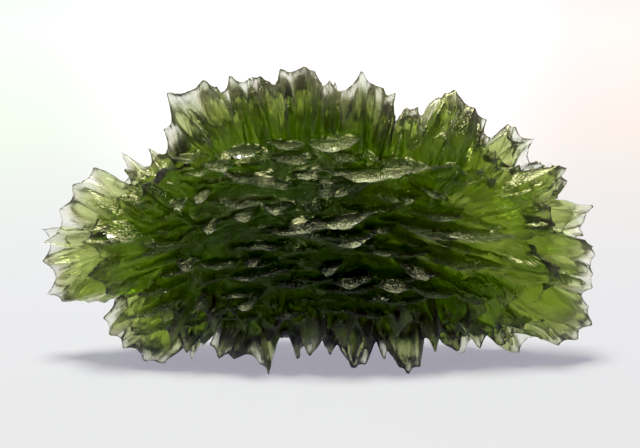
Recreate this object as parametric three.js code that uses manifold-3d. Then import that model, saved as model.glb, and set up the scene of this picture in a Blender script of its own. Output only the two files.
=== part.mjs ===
// A moldavite of the "hedgehog" type: one piece of natural green glass, 45 mm wide, whose surface
// was etched so deeply that it is all fins. A long core lies along X. Fans of glass grow out of it
// in every direction: tall fans up, down and sideways in the XZ plane, and rows of flat ledges,
// like the scales of a cone, to the front (-Y) and the back (+Y). Each fan ends in a row of sharp
// teeth with hollow bays between them.
//
// Millimetres, +Z up. The stone stands on the tips of its lowest teeth at z = 0, which are worn
// flat there. The origin is on that ground plane, under the middle of the stone.

import * as THREE from "three";
import { mergeVertices } from "three/addons/utils/BufferGeometryUtils.js";
import Module from "manifold-3d";

// Driving dimensions.
const CORE_CENTRE = new THREE.Vector3(0, 0, 10.8);
const CORE_RADII = new THREE.Vector3(18.8, 4.6, 8.3);
const CORE_SEGMENTS = { around: 18, along: 9 };

// Every fan. Its buried edge is narrower than its toothed edge, and it is thinner behind a bay than
// behind a tooth. A bay's depth is a share of the distance between its two teeth.
const BURIED_WIDTH = 0.75;
const BAY_DEPTH = 0.2;
const BAY_THINNING = 0.35;

// Tall fans, and the shorter layer fans that stand in front of them and behind them in turn. A layer
// fan reaches a share of the way to its tall fan's teeth.
const FAN_THICKNESS = { root: 2.6, edge: 0.5 };
const FAN_ROOT_LEAN = 0.25; // of the lean of its teeth
const LAYER_REACH = 0.76;
const LAYER_OFFSET = 3.0;
const LAYER_LEAN = 0.5; // of the lean of its tall fan
const LAYER_ROOT_OFFSET = 0.9;

// Ledges. Their tips lie on an ellipsoid, which the middle ones reach on the front and the back.
const LEDGE_RADII = { along: 24, up: 12.5 };
const LEDGE_DEPTH = { front: 7.4, back: 7.4 };
const LEDGE_THICKNESS = { root: 1.7, edge: 0.5 };
const LEDGE_ROOT = { along: 0.72, out: 0.6, up: 0.35 }; // where it is buried, from the core's middle
const LEDGE_SIDE_REACH = { left: 0.88, right: 0.9 }; // of the reach of its middle tooth
const LEDGE_DROOP = 0.25; // how far a side tooth hangs down, of its distance from the middle
const BACK_LEDGE_HALF_WIDTH = 2.0;

const GROUND_CUT = { width: 80, height: 10 };

// Tall fans, in the XZ plane. root is the middle of the buried edge and lean is the y of the teeth.
// The teeth are listed in order across the fan, as [x, z].
const TALL_FANS = [
  { root: [-5.2, 13.4], lean: -1.0, teeth: [
    [-12.2, 17.4], [-12.3, 19.4], [-12.0, 22.2], [-9.0, 23.3], [-7.9, 22.9],
  ] },
  { root: [-4.0, 14.2], lean: 0.9, teeth: [[-7.7, 22.2], [-7.0, 23.6], [-5.4, 23.4], [-4.8, 22.6]] },
  { root: [-3.0, 14.2], lean: 0.1, teeth: [[-5.3, 23.6], [-4.5, 23.7], [-3.5, 23.1]] },
  { root: [-1.2, 14.0], lean: 1.3, teeth: [
    [-3.4, 23.2], [-3.0, 24.2], [-1.1, 24.4], [-0.3, 24.2], [0.4, 23.0],
  ] },
  { root: [0.8, 14.4], lean: 0.4, teeth: [[0.4, 22.7], [1.0, 23.3], [1.9, 22.3]] },
  { root: [3.4, 13.8], lean: -0.7, teeth: [
    [1.8, 22.5], [3.5, 24.1], [5.1, 22.6], [6.2, 22.4], [6.3, 20.4],
  ] },
  { root: [5.8, 13.6], lean: 0.9, teeth: [[6.4, 20.2], [7.1, 20.9], [8.0, 21.2], [8.5, 19.8]] },
  { root: [8.2, 13.2], lean: -1.0, teeth: [
    [8.6, 20.0], [10.2, 22.2], [10.9, 22.4], [12.6, 21.1], [13.5, 20.0], [13.9, 18.6],
  ] },
  { root: [10.0, 12.6], lean: 0.7, teeth: [
    [14.0, 18.2], [15.4, 19.5], [16.0, 19.2], [17.6, 18.2], [17.3, 16.2],
  ] },
  { root: [11.5, 12.0], lean: -0.6, teeth: [
    [17.2, 16.0], [19.5, 16.4], [20.1, 16.1], [20.3, 14.8], [19.5, 13.4],
  ] },
  { root: [12.0, 11.2], lean: 0.5, teeth: [[19.6, 13.3], [22.4, 12.6], [21.8, 11.4], [21.7, 10.2]] },
  { root: [12.0, 10.2], lean: -0.9, teeth: [
    [21.7, 10.1], [22.3, 9.7], [22.5, 8.8], [22.4, 7.3], [22.3, 6.2], [21.5, 5.1],
  ] },
  { root: [11.5, 9.0], lean: -0.5, teeth: [
    [21.6, 5.0], [22.2, 4.4], [22.4, 3.1], [21.4, 1.6], [19.7, 1.3], [18.2, 1.8],
  ] },
  { root: [10.5, 8.0], lean: 2.5, teeth: [[18.0, 1.2], [16.7, -0.3], [15.6, 0.4], [14.8, 1.6]] },
  { root: [8.6, 7.8], lean: 3.1, teeth: [
    [14.1, 1.6], [12.9, 0.9], [12.0, -0.3], [11.1, 0.9], [10.1, 0.9], [9.3, 1.9],
  ] },
  { root: [6.0, 8.0], lean: -4.3, teeth: [[8.9, 2.8], [8.2, 0.4], [7.3, -0.3], [6.5, 0.5], [5.5, 1.9]] },
  { root: [3.2, 8.0], lean: -2.1, teeth: [[4.9, 2.4], [3.9, -0.1], [2.9, -0.3], [1.7, 1.7]] },
  { root: [1.0, 8.0], lean: 3.4, teeth: [[2.4, 1.3], [1.0, -0.3], [-0.1, 1.1]] },
  { root: [-1.4, 8.0], lean: -2.6, teeth: [[0.0, 2.9], [-0.9, 1.7], [-1.6, 0.7], [-2.7, 2.9]] },
  { root: [-4.0, 8.0], lean: -4.2, teeth: [
    [-2.7, 3.4], [-3.8, -0.3], [-4.6, 0.6], [-6.7, 1.0], [-8.0, 1.1], [-8.6, 2.3],
  ] },
  { root: [-7.5, 8.2], lean: 0.2, teeth: [[-9.1, 1.7], [-10.4, -0.3], [-11.3, 1.5]] },
  { root: [-8.6, 8.6], lean: -0.9, teeth: [
    [-11.7, 1.5], [-12.7, -0.3], [-14.1, 0.2], [-15.9, 1.1], [-16.9, 2.3], [-17.4, 3.7], [-16.5, 5.2],
  ] },
  { root: [-11.5, 9.6], lean: 0.3, teeth: [
    [-16.8, 5.2], [-18.8, 4.5], [-21.0, 4.7], [-22.1, 5.5], [-21.5, 7.2], [-22.4, 8.2], [-22.5, 10.8],
  ] },
  { root: [-11.5, 10.6], lean: 1.0, teeth: [
    [-22.4, 11.0], [-20.9, 12.7], [-19.6, 14.8], [-18.0, 16.1], [-15.8, 14.3],
  ] },
  { root: [-10.5, 12.0], lean: 0.5, teeth: [[-15.8, 14.6], [-15.9, 17.1], [-13.8, 15.9]] },
  { root: [-9.0, 12.6], lean: 0.0, teeth: [[-13.9, 15.8], [-13.7, 17.6], [-12.0, 17.4]] },
];

// Spines that point down and back, and hold the stone up from behind.
const REAR_SPINES = [
  { root: [-5.5, 8.0], lean: 4.2, teeth: [[-4.6, 2.0], [-5.8, -0.3], [-7.2, 1.6]] },
  { root: [5.5, 8.0], lean: 4.6, teeth: [[7.0, 1.8], [5.6, -0.3], [4.4, 1.4]] },
];

// Ledges on the front: where the middle of the toothed edge is, and half the ledge's width, as
// [x, z, half width]. How far a ledge reaches to the front follows from LEDGE_RADII.
const FRONT_LEDGES = [
  [-10.4, 16.6, 1.6], [-7.6, 16.4, 1.6], [-4.2, 15.7, 2.4], [-2.2, 17.3, 1.4], [1.3, 18.4, 2.0],
  [4.6, 16.8, 2.2], [0.9, 15.3, 1.8], [-14.2, 13.4, 2.1], [-11.4, 14.9, 1.7], [-8.1, 13.4, 1.9],
  [-0.3, 13.7, 2.6], [5.2, 13.8, 1.9], [9.0, 15.2, 1.7], [13.2, 14.4, 1.7], [10.5, 12.6, 1.9],
  [-4.2, 11.6, 2.2], [0.6, 11.8, 1.6], [4.9, 11.1, 1.7], [-12.6, 10.6, 1.9], [-8.6, 10.6, 1.6],
  [-17.0, 10.4, 1.6], [16.4, 12.5, 1.6], [14.5, 10.3, 1.9], [9.0, 10.4, 1.7], [-7.7, 8.6, 1.8],
  [-1.8, 9.4, 1.9], [7.9, 8.6, 1.7], [3.6, 7.6, 2.7], [13.2, 8.4, 1.7], [18.0, 8.2, 1.6],
  [-11.4, 7.0, 1.7], [-5.0, 6.4, 1.5], [9.8, 6.2, 1.6], [-15.6, 7.6, 1.5],
];

// Rows of ledges on the back: the height of each row, where its first ledge is, and how many it has.
const BACK_ROWS = [
  { z: 17.2, from: -8.4, count: 4, pitch: 5.4 },
  { z: 14.8, from: -12.6, count: 6, pitch: 5.0 },
  { z: 12.2, from: -15.2, count: 7, pitch: 5.0 },
  { z: 9.6, from: -12.8, count: 6, pitch: 5.1 },
  { z: 7.0, from: -10.4, count: 5, pitch: 5.2 },
];

const GLASS = new THREE.MeshStandardMaterial({ color: 0x557a1c, roughness: 0.3, metalness: 0 });

/** The share of a fan's thickness that is left between two teeth, at the share f of the way across. */
const bay = (f) => 4 * f * (1 - f);

/**
 * A fan: a thin closed body between a short buried edge and a row of teeth.
 * Its middle surface joins the two edges by straight lines. The toothed edge bends in between each
 * pair of teeth, and the body thins towards that edge, towards both sides and behind each bay.
 */
function fanGeometry(root, teeth, thickness, rows) {
  const first = teeth[0];
  const last = teeth[teeth.length - 1];
  const across = last.clone().sub(first);
  const middle = first.clone().add(last).multiplyScalar(0.5);
  const face = new THREE.Vector3().crossVectors(across, middle.clone().sub(root)).normalize();
  const columns = 2 * (teeth.length - 1);

  const edgeAt = (column) => {
    const k = Math.min(Math.floor(column / 2), teeth.length - 2);
    const f = column / 2 - k;
    const span = teeth[k].distanceTo(teeth[k + 1]);
    const inward = root.clone().sub(teeth[k]).normalize();
    return teeth[k].clone().lerp(teeth[k + 1], f).addScaledVector(inward, BAY_DEPTH * span * bay(f));
  };
  const halfThickness = (row, column) => {
    const u = row / rows;
    const side = column === 0 || column === columns;
    const thick = THREE.MathUtils.lerp(thickness.root, thickness.edge, Math.sqrt(u)) / 2;
    if (side || row === rows) return thickness.edge / 2;
    return column % 2 ? thick * (1 - BAY_THINNING * u) : thick;
  };

  const positions = [];
  for (const sign of [1, -1]) {
    for (let row = 0; row <= rows; row++) {
      for (let column = 0; column <= columns; column++) {
        const buried = root.clone().addScaledVector(across, BURIED_WIDTH * (column / columns - 0.5));
        const point = buried.lerp(edgeAt(column), row / rows);
        point.addScaledVector(face, sign * halfThickness(row, column));
        positions.push(point.x, point.y, point.z);
      }
    }
  }

  const stride = columns + 1;
  const sheet = stride * (rows + 1);
  const indices = [];
  const quad = (a, b, c, d) => indices.push(a, b, c, a, c, d);
  for (let row = 0; row < rows; row++) {
    for (let column = 0; column < columns; column++) {
      const a = row * stride + column;
      quad(a, a + 1, a + stride + 1, a + stride);
      quad(sheet + a, sheet + a + stride, sheet + a + stride + 1, sheet + a + 1);
    }
  }
  const rim = [];
  for (let column = 0; column < columns; column++) rim.push(column);
  for (let row = 0; row < rows; row++) rim.push(row * stride + columns);
  for (let column = columns; column > 0; column--) rim.push(rows * stride + column);
  for (let row = rows; row > 0; row--) rim.push(row * stride);
  rim.forEach((a, i) => {
    const b = rim[(i + 1) % rim.length];
    quad(a, sheet + a, sheet + b, b);
  });

  const geometry = new THREE.BufferGeometry();
  geometry.setAttribute("position", new THREE.Float32BufferAttribute(positions, 3));
  geometry.setIndex(indices);
  return geometry;
}

/** A tall fan from its row of TALL_FANS or REAR_SPINES. */
function tallFan({ root, lean, teeth }) {
  const from = new THREE.Vector3(root[0], lean * FAN_ROOT_LEAN, root[1]);
  const to = teeth.map(([x, z]) => new THREE.Vector3(x, lean, z));
  return fanGeometry(from, to, FAN_THICKNESS, 2);
}

/** A shorter fan with three teeth, which stands in front of a tall fan (side -1) or behind it (1). */
function layerFan({ root, lean, teeth }, side) {
  const from = new THREE.Vector3(root[0], side * LAYER_ROOT_OFFSET, root[1]);
  const picked = [teeth[0], teeth[Math.floor(teeth.length / 2)], teeth[teeth.length - 1]];
  const to = picked.map(([x, z]) => {
    const tip = new THREE.Vector3(x, lean * LAYER_LEAN + side * LAYER_OFFSET, z);
    return from.clone().lerp(tip, LAYER_REACH);
  });
  return fanGeometry(from, to, FAN_THICKNESS, 1);
}

/** A ledge: a flat fan to the front or the back, whose middle tooth lies on LEDGE_RADII. */
function ledge(x, z, halfWidth, side) {
  const up = (z - CORE_CENTRE.z) / LEDGE_RADII.up;
  const along = x / LEDGE_RADII.along;
  const reach = Math.sqrt(Math.max(0, 1 - up * up - along * along));
  const tip = side * reach * (side < 0 ? LEDGE_DEPTH.front : LEDGE_DEPTH.back);
  const rootZ = THREE.MathUtils.lerp(CORE_CENTRE.z, z, LEDGE_ROOT.up);
  const root = new THREE.Vector3(x * LEDGE_ROOT.along, side * LEDGE_ROOT.out, rootZ);
  const sideZ = z - LEDGE_DROOP * halfWidth;
  const teeth = [
    new THREE.Vector3(x - halfWidth, tip * LEDGE_SIDE_REACH.left, sideZ),
    new THREE.Vector3(x, tip, z),
    new THREE.Vector3(x + halfWidth, tip * LEDGE_SIDE_REACH.right, sideZ),
  ];
  return fanGeometry(root, teeth, LEDGE_THICKNESS, 1);
}

/** The core: an ellipsoid along X. */
function coreGeometry() {
  const core = new THREE.SphereGeometry(1, CORE_SEGMENTS.around, CORE_SEGMENTS.along);
  core.scale(...CORE_RADII.toArray());
  core.translate(...CORE_CENTRE.toArray());
  return core;
}

/** The block of ground that wears the lowest teeth flat at z = 0. */
function groundGeometry() {
  const ground = new THREE.BoxGeometry(GROUND_CUT.width, GROUND_CUT.width, GROUND_CUT.height);
  return ground.translate(0, 0, -GROUND_CUT.height / 2);
}

const wasm = await Module();
wasm.setup();

/** A closed geometry as a manifold-3d solid, turned the right way out if its faces point inwards. */
function solidOf(geometry) {
  geometry.deleteAttribute("normal");
  geometry.deleteAttribute("uv");
  const merged = mergeVertices(geometry, 1e-4);
  const triVerts = new Uint32Array(merged.index.array);
  const vertProperties = new Float32Array(merged.attributes.position.array);
  const solid = new wasm.Manifold(new wasm.Mesh({ numProp: 3, vertProperties, triVerts }));
  if (solid.volume() > 0) return solid;
  for (let i = 0; i < triVerts.length; i += 3) {
    [triVerts[i + 1], triVerts[i + 2]] = [triVerts[i + 2], triVerts[i + 1]];
  }
  return new wasm.Manifold(new wasm.Mesh({ numProp: 3, vertProperties, triVerts }));
}

/** A manifold-3d solid as a geometry for a three.js mesh. */
function geometryOf(solid) {
  const { vertProperties, triVerts } = solid.getMesh();
  const geometry = new THREE.BufferGeometry();
  geometry.setAttribute("position", new THREE.BufferAttribute(new Float32Array(vertProperties), 3));
  geometry.setIndex(new THREE.BufferAttribute(new Uint32Array(triVerts), 1));
  geometry.computeVertexNormals();
  return geometry;
}

const pieces = [coreGeometry()];
TALL_FANS.forEach((fan, i) => {
  pieces.push(tallFan(fan), layerFan(fan, i % 2 ? 1 : -1));
});
for (const spine of REAR_SPINES) pieces.push(tallFan(spine));
for (const [x, z, halfWidth] of FRONT_LEDGES) pieces.push(ledge(x, z, halfWidth, -1));
for (const { z, from, count, pitch } of BACK_ROWS) {
  for (let i = 0; i < count; i++) pieces.push(ledge(from + i * pitch, z, BACK_LEDGE_HALF_WIDTH, 1));
}

const grown = pieces.map(solidOf).reduce((whole, piece) => whole.add(piece));
const stone = grown.subtract(solidOf(groundGeometry()));

const moldavite = new THREE.Mesh(geometryOf(stone), GLASS);
moldavite.name = "moldavite";

const part = new THREE.Group();
part.add(moldavite);

export default part;
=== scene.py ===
"""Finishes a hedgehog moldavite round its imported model.

The stone is one piece of clear green natural glass, etched into fins: tall fans with toothed edges
up, down and sideways, rings of shorter fans over them, and stacked ledges to the front and the back.
Every fin is a surface worked out from two parameters. The fins are fused, their creases are filled,
and the whole is etched with flutes and bowls. The stone is worked out in millimetres, x along it, y to
the back and z up, and becomes a mesh in metres. Every random choice comes from one seed.
"""

import math

import bpy
import numpy as np
from bpy.props import FloatProperty, FloatVectorProperty, IntProperty, PointerProperty
from bpy.types import Operator, Panel, PropertyGroup
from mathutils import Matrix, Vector


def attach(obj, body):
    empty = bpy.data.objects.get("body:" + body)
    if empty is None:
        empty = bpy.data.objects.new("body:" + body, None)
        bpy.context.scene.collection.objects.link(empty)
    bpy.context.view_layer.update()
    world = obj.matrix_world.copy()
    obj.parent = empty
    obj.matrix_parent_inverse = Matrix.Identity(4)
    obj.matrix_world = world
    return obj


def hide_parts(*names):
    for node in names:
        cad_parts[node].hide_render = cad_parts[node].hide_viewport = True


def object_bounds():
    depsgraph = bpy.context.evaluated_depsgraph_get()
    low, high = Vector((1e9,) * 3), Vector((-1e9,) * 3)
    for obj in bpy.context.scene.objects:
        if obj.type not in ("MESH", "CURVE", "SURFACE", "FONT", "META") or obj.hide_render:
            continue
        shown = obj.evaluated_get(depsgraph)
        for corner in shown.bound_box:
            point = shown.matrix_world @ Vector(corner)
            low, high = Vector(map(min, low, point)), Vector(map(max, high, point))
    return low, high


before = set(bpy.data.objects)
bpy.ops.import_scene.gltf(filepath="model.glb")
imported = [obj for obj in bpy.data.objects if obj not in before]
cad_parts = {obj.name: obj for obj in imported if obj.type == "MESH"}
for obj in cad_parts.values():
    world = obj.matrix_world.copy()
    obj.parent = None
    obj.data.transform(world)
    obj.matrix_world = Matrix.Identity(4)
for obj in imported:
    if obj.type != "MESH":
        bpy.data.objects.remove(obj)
CAD_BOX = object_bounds()

bl_info = {
    "name": "Moldavite",
    "version": (1, 0, 0),
    "blender": (4, 5, 0),
    "location": "3D View > Sidebar > Moldavite",
    "description": "A spiny piece of etched green natural glass, on a pale floor",
    "category": "Add Mesh",
}

MM = 0.001

# The core, an ellipsoid.
CORE_CENTRE = np.array((-3.4, 0.3, 10.8))
CORE_RADII = np.array((10.4, 3.9, 7.8))

# The domes that carry the ledges, in front of the core and behind it: their upper and lower rims
# (x, z), how deep they are, how much higher the middle of the rear one's upper rim is, and where
# between the lower rim (-1) and the upper rim (1) they are deepest. They come no further out than
# DEPTH_LIMIT.
DOME_TOP = ((-19.0, 10.5), (-16.5, 13.4), (-12.5, 16.4), (-10.0, 17.5), (-7.0, 18.0), (-2.0, 18.2),
            (4.0, 18.0), (8.0, 17.4), (12.0, 16.6), (14.5, 15.2), (16.8, 12.0))
DOME_BOTTOM = ((-19.0, 7.5), (-16.5, 4.4), (-10.0, 2.2), (0.0, 1.6), (10.0, 1.8), (14.5, 3.4),
               (16.8, 6.4))
FRONT_DEPTH = 4.8
REAR_DEPTH = 5.2
REAR_RISE = 2.0
WIDEST = -0.05
DEPTH_LIMIT = 7.35

# How far the scattered and the main shelves reach out of the middle plane: the most, the height
# where they do, and how far from there they fade to nothing, to either side, upwards and downwards.
HALF_DEPTH = 7.3
DEEPEST_Z = 6.0
REACH_LEFT = 18.5
REACH_RIGHT = 16.8
REACH_UP = 15.0
REACH_DOWN = 5.5

# Tall fans, in the XZ plane: the middle of the buried edge (x, z), the y of the teeth, the thickness
# near the buried edge, and the teeth in order across the fan (x, z). Fans that are rooted above
# CROWN_ROOT make up the crown.
CROWN_ROOT = 13
TALL_FANS = (
    ((-5.2, 13.4), -2.0, 3.4, ((-12.2, 17.4), (-12.3, 19.4), (-12.0, 22.2), (-9.0, 23.3), (-7.9, 22.9))),
    ((-4.0, 14.2), -0.6, 3.0, ((-7.7, 22.2), (-7.0, 23.6), (-5.4, 23.4), (-4.8, 22.6))),
    ((-3.0, 14.2), -1.8, 3.2, ((-5.3, 23.6), (-4.5, 23.7), (-3.5, 23.1))),
    ((-1.2, 14.0), -1.6, 3.2, ((-3.4, 23.2), (-3.0, 24.2), (-1.1, 24.4), (-0.3, 24.2), (0.4, 23.0))),
    ((0.8, 14.4), -1.0, 3.0, ((0.4, 22.7), (1.0, 23.3), (1.9, 22.3))),
    ((3.4, 13.8), -2.0, 3.4, ((1.8, 22.5), (3.5, 24.1), (5.1, 22.6), (6.2, 22.4), (6.3, 20.4))),
    ((5.8, 13.6), -1.2, 3.0, ((6.4, 20.2), (7.1, 20.9), (8.0, 21.2), (8.5, 19.8))),
    ((8.2, 12.9), -1.0, 4.4, ((8.6, 20.0), (10.2, 22.2), (10.9, 22.4), (12.6, 21.1), (13.5, 20.0),
                              (13.9, 18.6))),
    ((10.0, 12.6), 0.7, 1.9, ((14.0, 18.2), (15.4, 19.5), (16.0, 19.2), (17.6, 18.2), (17.3, 16.2))),
    ((11.5, 12.0), -0.6, 4.0, ((17.2, 16.0), (19.5, 16.4), (20.1, 16.1), (20.3, 14.8), (19.5, 13.4))),
    ((12.0, 11.2), 0.5, 2.2, ((19.6, 13.3), (22.4, 12.6), (21.8, 11.4), (21.7, 10.2))),
    ((12.0, 10.2), -0.9, 3.0, ((21.7, 10.1), (22.3, 9.7), (22.5, 8.8), (22.4, 7.3), (22.3, 6.2),
                               (21.5, 5.1))),
    ((11.5, 9.0), -0.5, 4.2, ((21.6, 5.0), (22.2, 4.4), (22.4, 3.1), (21.4, 1.6), (19.7, 1.3),
                              (18.2, 1.8))),
    ((10.5, 8.0), 2.5, 2.6, ((18.0, 1.2), (16.7, -0.3), (15.6, 0.4), (14.8, 1.6))),
    ((8.6, 7.8), 3.1, 2.2, ((14.1, 1.6), (12.9, 0.9), (12.0, -0.3), (11.1, 0.9), (10.1, 0.9),
                            (9.3, 1.9))),
    ((6.0, 8.0), -4.3, 2.6, ((8.9, 2.8), (8.2, 0.4), (7.3, -0.3), (6.5, 0.5), (5.5, 1.9))),
    ((3.2, 8.0), -2.1, 2.7, ((4.9, 2.4), (3.9, -0.1), (2.9, -0.3), (1.7, 1.7))),
    ((1.0, 8.0), 3.4, 2.7, ((2.4, 1.3), (1.0, -0.3), (-0.1, 1.1))),
    ((-1.4, 8.0), -2.6, 2.7, ((0.0, 2.9), (-0.9, 1.7), (-1.6, 0.7), (-2.7, 2.9))),
    ((-4.0, 8.0), -4.2, 2.8, ((-2.7, 3.4), (-3.8, -0.3), (-4.6, 0.6), (-6.7, 1.0), (-8.0, 1.1),
                              (-8.6, 2.3))),
    ((-7.5, 8.2), 0.2, 2.6, ((-9.1, 1.7), (-10.4, -0.3), (-11.3, 1.5))),
    ((-8.6, 8.6), -0.9, 2.6, ((-11.7, 1.5), (-12.7, -0.3), (-14.1, 0.2), (-15.9, 1.1), (-16.9, 2.3),
                              (-17.4, 3.7), (-16.5, 5.2))),
    ((-11.5, 9.6), 0.3, 3.6, ((-16.8, 5.2), (-18.8, 4.5), (-21.0, 4.7), (-22.1, 5.5), (-21.5, 7.2),
                              (-22.4, 8.2), (-22.5, 10.9))),
    ((-11.5, 10.2), -0.9, 2.5, ((-22.3, 9.9), (-20.9, 12.7), (-19.6, 14.8), (-18.0, 16.1), (-15.8, 14.3))),
    ((-10.5, 12.0), 0.5, 1.8, ((-15.8, 14.6), (-15.9, 17.1), (-13.8, 15.9))),
    ((-9.0, 12.6), 0.0, 3.0, ((-13.9, 15.8), (-13.7, 17.6), (-12.0, 17.4))),
)
# Two more spines behind the others, which carry the stone.
REAR_SPINES = (
    ((-5.5, 8.0), 4.2, 2.4, ((-4.6, 2.0), (-5.8, -0.3), (-7.2, 1.6))),
    ((5.5, 8.0), 4.6, 2.4, ((7.0, 1.8), (5.6, -0.3), (4.4, 1.4))),
)
# The main shelves of the front: x and z of the middle of the lip, half the lip's width, and its slope
# along x.
FRONT_SHELVES = (
    (-10.2, 16.9, 1.4, 0.0), (-5.9, 17.1, 1.4, 0.0), (-7.8, 16.2, 1.3, 0.0),
    (-2.6, 18.0, 1.5, 0.0), (1.4, 17.9, 2.1, 0.12), (-2.2, 16.8, 1.5, 0.0),
    (-4.3, 15.2, 3.1, -0.12), (-0.9, 15.7, 1.2, 0.0), (0.7, 14.4, 0.8, 0.0),
    (-9.1, 13.9, 0.8, 0.3), (-10.9, 13.4, 0.9, 0.0), (-5.7, 12.7, 1.2, 0.35),
    (-3.0, 13.3, 1.4, 0.1), (-1.0, 11.8, 3.5, 0.15), (4.4, 15.7, 4.7, 0.03),
    (8.9, 14.3, 1.5, -0.4), (11.7, 15.0, 1.9, 0.25), (7.1, 13.8, 0.8, 0.0),
    (9.9, 12.4, 1.8, -0.1), (1.9, 12.1, 2.5, 0.2), (10.3, 11.1, 5.5, -0.13),
    (2.7, 10.7, 1.8, 0.05), (13.5, 8.3, 1.9, -0.35), (7.8, 8.2, 1.7, -0.35),
    (6.1, 7.0, 1.7, -0.1), (-13.9, 13.3, 1.4, 0.0), (-12.1, 10.1, 1.9, 0.1),
    (-8.5, 11.6, 0.8, 0.2), (-10.2, 8.7, 1.0, 0.2), (-5.4, 5.8, 1.2, 0.5),
    (-5.1, 9.2, 0.9, 0.3), (1.0, 8.5, 1.0, 0.3), (2.8, 7.5, 1.7, 0.1),
    (5.3, 6.3, 0.8, 0.0),
)
# Petals that lie over the thin fans at the two ends, front and back, written as the tall fans are.
END_PETALS = (
    ((-8.5, 12.0), -3.0, 4.0, ((-10.4, 16.9), (-12.6, 16.5), (-14.2, 15.2), (-14.4, 13.4))),
    ((-11.0, 11.4), -2.8, 3.2, ((-13.2, 14.0), (-16.4, 14.1), (-16.2, 12.6))),
    ((-11.5, 10.6), -3.4, 4.2, ((-16.0, 12.4), (-18.2, 11.6), (-18.9, 10.6), (-17.2, 9.2))),
    ((-11.0, 9.0), -2.6, 2.6, ((-17.0, 9.0), (-18.6, 7.6), (-17.0, 6.2), (-15.4, 5.6))),
    ((11.0, 11.0), -3.0, 2.3, ((16.0, 14.4), (18.6, 13.2), (19.0, 11.8), (17.2, 10.6))),
    ((11.0, 9.0), -3.2, 2.4, ((17.4, 10.2), (19.4, 8.6), (19.6, 7.0), (17.6, 5.6))),
    ((10.0, 8.0), -2.8, 2.6, ((17.4, 5.4), (18.4, 3.8), (16.6, 3.0), (14.6, 3.4))),
    ((-11.0, 10.8), 1.5, 2.6, ((-15.2, 13.6), (-18.0, 12.6), (-18.6, 10.8), (-16.8, 9.6))),
    ((-11.0, 8.8), 1.9, 2.4, ((-16.8, 9.2), (-18.4, 7.8), (-17.2, 6.0), (-15.2, 5.4))),
    ((11.0, 11.2), 1.6, 2.0, ((15.4, 14.8), (18.2, 13.6), (19.2, 11.6), (17.0, 10.4))),
    ((10.6, 8.6), 2.2, 1.6, ((17.2, 9.8), (19.4, 8.0), (18.8, 5.8), (16.8, 4.6))),
)
# Rings of shorter fans: their reach as a share of the tall fans' length, and their thickness.
RINGS = ((0.93, 2.1), (0.84, 2.4), (0.73, 2.6), (0.62, 2.6))
# Rows of scattered shelves: their heights, from which x to which a row runs, and how far out a shelf
# may end. Then the size of the lip of a main shelf and of a scattered one.
FRONT_SHELF_ROWS = np.arange(4.6, 17.6, 1.2)
REAR_SHELF_ROWS = np.append(np.arange(4.6, 13.0, 1.2), np.arange(13.4, 18.0, 0.7))
SHELVES_FROM = -17.0
SHELVES_TO = 16.5
SHELF_END = 15.8
MAIN_LIP = 0.8
SCATTERED_LIP = 0.6
# Rows of small ledges on the domes: their heights, how far out to either side a row runs, and how far
# a ledge hangs down, as a share of how far it stands out.
FRONT_LEDGE_ROWS = np.arange(2.6, 13.5, 1.15)
REAR_LEDGE_ROWS = np.arange(2.6, 18.5, 1.15)
LEDGES_END = 18.0
LEDGE_SAG = 0.35
# Rows of hanging blades, from the outermost in: how far out each hangs, as a share of BLADE_DEPTH,
# and the height of its tips. A row runs from one x to another.
BLADE_ROWS = ((0.72, 2.2), (0.5, 1.2), (0.25, 1.0))
BLADES_FROM = -12.5
BLADES_TO = 14.5
BLADE_DEPTH = 7.4
BLADE_THICK = 1.8
BLADE_ROOT_Z = 7.2

# How far the etching moves a point of the surface at most, how often the creases are smoothed after
# it, and how many random values the noises look up, with the numbers that pick one of them.
DEEPEST_ETCH = 0.15
LAST_PASSES = 3
TABLE_SIZE = 8192
CELL_FACTORS = (73856093, 19349663, 83492791)

# The skin of the glass: pits to a metre of the stone, streaks to a millimetre across the rays, and
# the depth of both in metres.
PIT_SCALE = 5500.0
PIT_DEPTH = 0.0004
STREAK_SCALE = 4.0
STREAK_DEPTH = 0.00008

# The floor, in metres: half its side, and where its glow grows from near to far. The glow is painted
# light. Near the stone it has one lilac tint and fills the stone's shadow with painted light. Further
# back it is a painted pool of light that fans out from a point in front of the stone, with three tints
# across it. Widths across the fan are shares of the distance from that point.
FLOOR_HALF = 4.0
GLOW_Y = (-0.03, 0.30)
NEAR_PAINTED_LIGHT_TINT = (0.79, 0.79, 1.0, 1.0)
POOL_TINTS = ((0.84, 1.00, 0.86, 1.0), (0.97, 0.88, 1.0, 1.0), (1.00, 0.84, 0.80, 1.0))
POOL_Y = (0.02, 0.12)
POOL_WIDTH = (0.02, 0.13)
POOL_STRENGTH = (1.5, 0.98)
TINTS_WIDTH = 0.16
FAN_POINT = 0.17

# The lamp over the stone, in metres, and the sky, which is brightest towards SKY_AIM. The cosine of
# the angle from there goes through SKY_RANGE as the strength does through SKY_STRENGTH.
LAMP_SIZE = (0.09, 0.14)
LAMP_PLACE = (-0.02, -0.02, 0.31)
SKY_AIM = (0.0, 0.75, 0.66)
SKY_RANGE = (-0.6, 0.35)
SKY_STRENGTH = (0.07, 0.48)
SKY_COLOUR = (0.97, 0.93, 1.0, 1.0)

# What the camera looks at, the share of the frame's width that the stone takes, and the tone of the
# render: its black level, and the points of its red and green curves. Then how often light bounces.
AIM = Vector((0.0002, 0.0, 0.0113))
STONE_SHARE = 0.86875
BLACK_LEVEL = (0.0095, 0.0165, 0.0048)
TONE = ((0.03, 0.022), (0.06, 0.056), (0.12, 0.13), (0.3, 0.33), (0.65, 0.67))
LIGHT_BOUNCES = 24


# ------------------------------------ fins

def bay(f):
    """How deep a bay is at the share f of the way from one tooth to the next: 4 f (1 - f)."""
    return 4 * f * (1 - f)


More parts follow.
